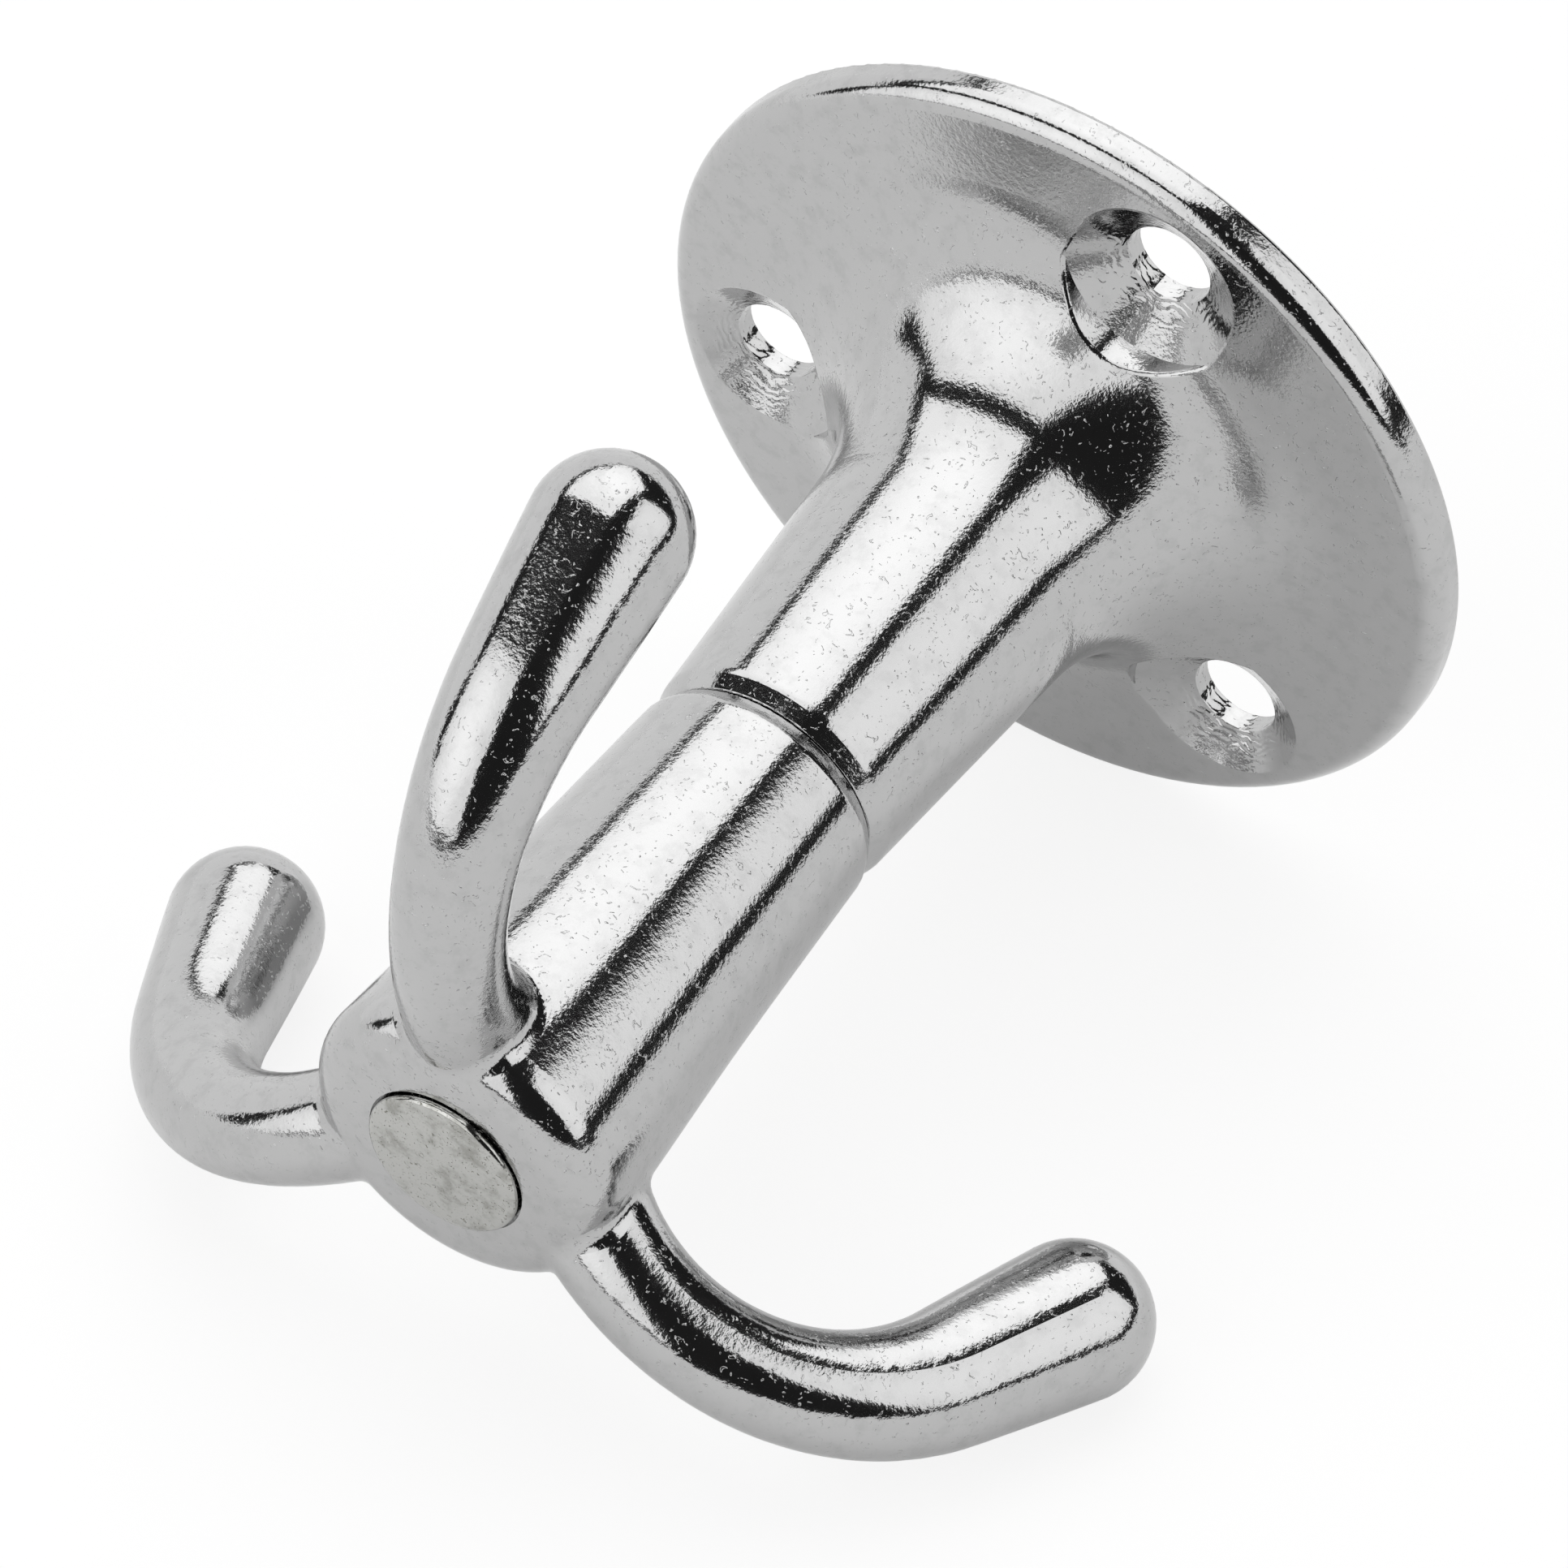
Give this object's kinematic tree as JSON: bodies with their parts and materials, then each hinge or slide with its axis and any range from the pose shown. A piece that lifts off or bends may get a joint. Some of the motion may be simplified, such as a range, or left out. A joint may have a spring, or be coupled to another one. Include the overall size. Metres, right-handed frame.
{
  "type": "swivel hook",
  "caption": "Round screw-on flange with a trumpet stem carrying a turning sleeve with ball-ended prongs that curve back towards the flange.",
  "frame": {"origin": "centre of the screw circle, on the flange's mounting face and on the swivel axis", "axes": "+Z along the swivel axis from the mounting face to the head, -Y towards the first screw hole; in use under a shelf the part hangs with +Z down"},
  "size_m": [0.0603, 0.0623, 0.063],
  "materials": {
    "base_plate_metal": "bright nickel plate over a zinc die casting, with a fine orange-peel texture",
    "hook_metal": "bright nickel plate over a zinc die casting, with a fine orange-peel texture",
    "rivet_metal": "plated steel, smooth satin face with faint stains"
  },
  "bodies": {
    "base": {"base": "base_plate_metal", "rivet": "rivet_metal"},
    "hook": {"hook_body": "hook_metal"}
  },
  "joints": [
    {"name": "hook_swivel", "type": "hinge", "parent": "base", "child": "hook", "pos_m": [0, 0, 0.0317], "axis": [0, 0, 1], "continuous": true}
  ]
}
